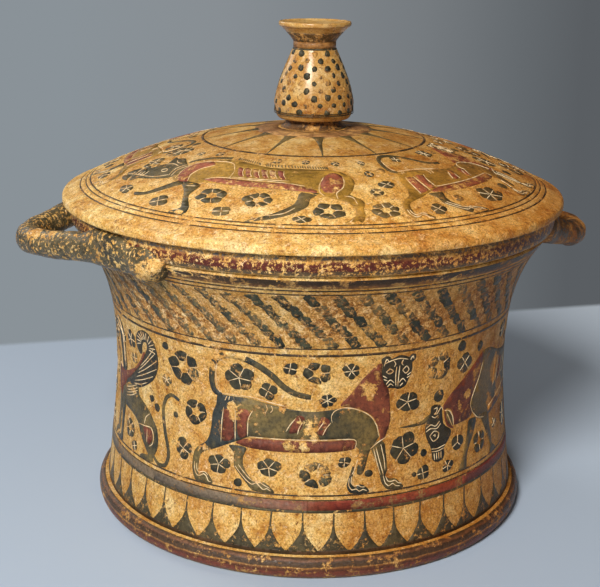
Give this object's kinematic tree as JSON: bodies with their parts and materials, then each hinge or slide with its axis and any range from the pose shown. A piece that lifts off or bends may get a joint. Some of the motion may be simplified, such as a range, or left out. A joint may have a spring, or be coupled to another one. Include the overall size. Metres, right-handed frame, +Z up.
{
  "type": "lidded pyxis",
  "caption": "Round straight-sided clay box with a turned foot, a flaring rim, two arched handles and a domed lid with a tall lipped knob.",
  "frame": {"origin": "on the axis of the body, where the foot's flat ring rests on the table", "axes": "+Z up along the axis, X through the middles of both handles, -Y towards the side that shows the walking panther"},
  "size_m": [0.2732, 0.23, 0.2235],
  "materials": {
    "fired_clay": "satin",
    "slipped_clay": "satin"
  },
  "bodies": {
    "vessel": {"body": "fired_clay", "handle_left": "slipped_clay", "handle_right": "slipped_clay"},
    "cover": {"lid": "fired_clay", "lid_flange": "fired_clay", "knob_collar": "slipped_clay", "knob": "fired_clay"}
  },
  "joints": [
    {"name": "lid_lift", "type": "slide", "parent": "vessel", "child": "cover", "axis": [0, 0, 1], "range_m": [0, 0.12]}
  ]
}
